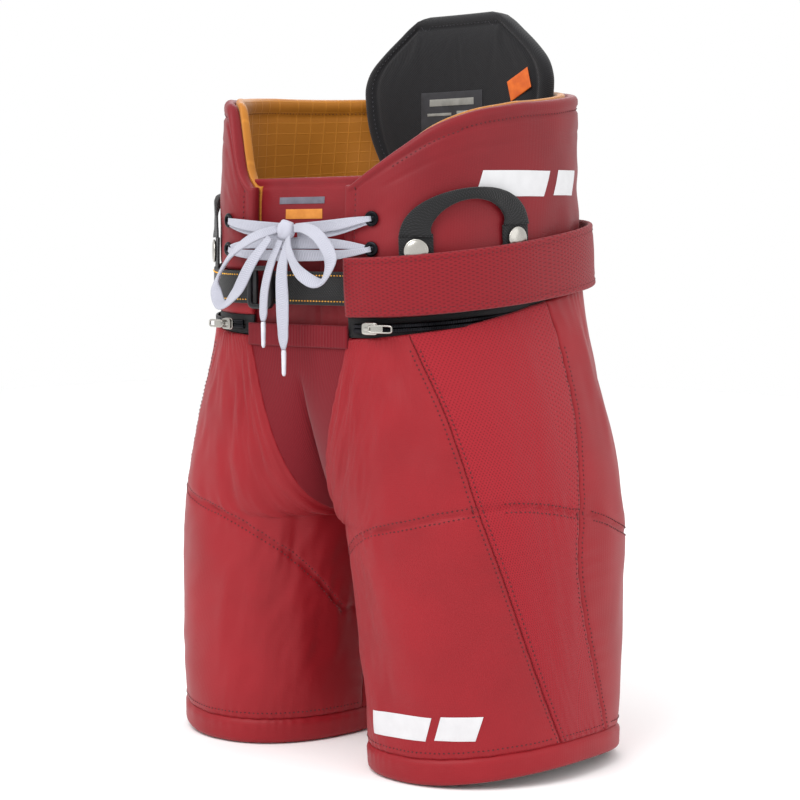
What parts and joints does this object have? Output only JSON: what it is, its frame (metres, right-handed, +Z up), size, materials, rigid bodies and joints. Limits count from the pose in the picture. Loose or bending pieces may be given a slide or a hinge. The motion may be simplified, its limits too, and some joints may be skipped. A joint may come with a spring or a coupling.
{
  "type": "hockey pants",
  "caption": "Padded hockey pants with a laced fly, buckled belt, kidney wings, tilting spine pad, braces loops, side zips and open legs.",
  "frame": {"origin": "middle of the overall box without the lace, on the ground under the hems", "axes": "+Z up, the wearer's front faces -Y, the wearer's left is +X"},
  "size_m": [0.3358, 0.2325, 0.511],
  "materials": {
    "lace": "woven flat lace",
    "silver_metal": "polished",
    "dark_metal": "black coated",
    "mesh_fabric": "open knit mesh",
    "knit_fabric": "stretch knit",
    "gold_lining": "ripstop lining",
    "black_webbing": "woven webbing",
    "black_fabric": "brushed lining",
    "orange_tag": "soft rubber tag",
    "guard_plastic": "moulded",
    "pad_foam": "foam in a fabric cover",
    "red_nylon": "satin woven nylon"
  },
  "bodies": {
    "girdle": {"hip_shell": "red_nylon", "tongue": "red_nylon", "kidney_wing_left": "red_nylon", "wing_lining_left": "gold_lining", "kidney_wing_right": "red_nylon", "wing_lining_right": "gold_lining", "hip_wrap_left": "mesh_fabric", "hip_wrap_right": "mesh_fabric", "belt_webbing_left": "black_webbing", "belt_webbing_right": "black_webbing", "eyelet_upper_left": "dark_metal", "eyelet_lower_left": "dark_metal", "eyelet_upper_right": "dark_metal", "eyelet_lower_right": "dark_metal", "lace_row_lower": "lace", "lace_row_upper": "lace", "lace_knot": "lace", "lace_bow_left": "lace", "lace_tail_left": "lace", "lace_aglet_left": "lace", "lace_bow_right": "lace", "lace_tail_right": "lace", "lace_aglet_right": "lace", "loop_rivet_front_left": "silver_metal", "loop_rivet_rear_left": "silver_metal", "loop_rivet_front_right": "silver_metal", "loop_rivet_rear_right": "silver_metal", "zip_tape_left": "black_webbing", "zip_coil_left": "dark_metal", "zip_tape_right": "black_webbing", "zip_coil_right": "dark_metal", "hip_pad_left": "pad_foam", "hip_pad_right": "pad_foam", "tailbone_pad": "pad_foam", "crotch_gusset": "knit_fabric", "upper_leg_left": "red_nylon", "upper_leg_right": "red_nylon"},
    "left_leg": {"leg_hem_left": "red_nylon", "thigh_mesh_left": "mesh_fabric", "thigh_shell_left": "red_nylon", "thigh_guard_left": "guard_plastic", "thigh_foam_left": "pad_foam", "leg_lining_left": "black_fabric"},
    "right_leg": {"leg_hem_right": "red_nylon", "thigh_mesh_right": "mesh_fabric", "thigh_shell_right": "red_nylon", "thigh_guard_right": "guard_plastic", "thigh_foam_right": "pad_foam", "leg_lining_right": "black_fabric"},
    "spine_board": {"spine_pad": "black_fabric", "spine_label": "black_fabric", "spine_tag": "orange_tag"},
    "buckle": {"buckle_frame": "dark_metal"},
    "left_braces_loop": {"braces_loop_left": "black_webbing"},
    "left_zip_slider": {"zip_slider_left": "silver_metal"},
    "left_zip_pull": {"zip_pull_left": "silver_metal"},
    "right_braces_loop": {"braces_loop_right": "black_webbing"},
    "right_zip_slider": {"zip_slider_right": "silver_metal"},
    "right_zip_pull": {"zip_pull_right": "silver_metal"}
  },
  "joints": [
    {"name": "left_hip_bend", "type": "hinge", "parent": "girdle", "child": "left_leg", "pos_m": [0.06, 0, 0.29], "axis": [-1, 0, 0], "range_deg": [-10, 25], "deforming": ["upper_leg_left"]},
    {"name": "left_braces_loop_swing", "type": "hinge", "parent": "girdle", "child": "left_braces_loop", "pos_m": [0.0908, -0.0935, 0.3506], "axis": [0.4553, 0.8824, 0.1187], "range_deg": [0, 75], "stiffness_Nm_per_rad": 0.01},
    {"name": "left_zip_run", "type": "hinge", "parent": "girdle", "child": "left_zip_slider", "pos_m": [0.04425, -0.01416, 0.3017], "axis": [0, -0.1105, 0.9939], "range_deg": [0, 70]},
    {"name": "left_zip_pull_flip", "type": "hinge", "parent": "left_zip_slider", "child": "left_zip_pull", "pos_m": [0.0669, -0.1019, 0.2927], "axis": [0, 0.1105, -0.9939], "range_deg": [0, 150]},
    {"name": "right_hip_bend", "type": "hinge", "parent": "girdle", "child": "right_leg", "pos_m": [-0.06, 0, 0.29], "axis": [-1, 0, 0], "range_deg": [-10, 25], "deforming": ["upper_leg_right"]},
    {"name": "right_braces_loop_swing", "type": "hinge", "parent": "girdle", "child": "right_braces_loop", "pos_m": [-0.0908, -0.0935, 0.3506], "axis": [0.4553, -0.8824, -0.1187], "range_deg": [0, 75], "stiffness_Nm_per_rad": 0.01},
    {"name": "right_zip_run", "type": "hinge", "parent": "girdle", "child": "right_zip_slider", "pos_m": [-0.04425, -0.01416, 0.3017], "axis": [0, 0.1105, -0.9939], "range_deg": [0, 70]},
    {"name": "right_zip_pull_flip", "type": "hinge", "parent": "right_zip_slider", "child": "right_zip_pull", "pos_m": [-0.0669, -0.1019, 0.2927], "axis": [0, -0.1105, 0.9939], "range_deg": [0, 150]},
    {"name": "spine_board_tilt", "type": "hinge", "parent": "girdle", "child": "spine_board", "pos_m": [0, 0.073, 0.376], "axis": [1, 0, 0], "range_deg": [0, 18], "stiffness_Nm_per_rad": 0.8},
    {"name": "buckle_slide", "type": "slide", "parent": "girdle", "child": "buckle", "axis": [-1, 0, 0], "range_m": [0, 0.015]}
  ]
}
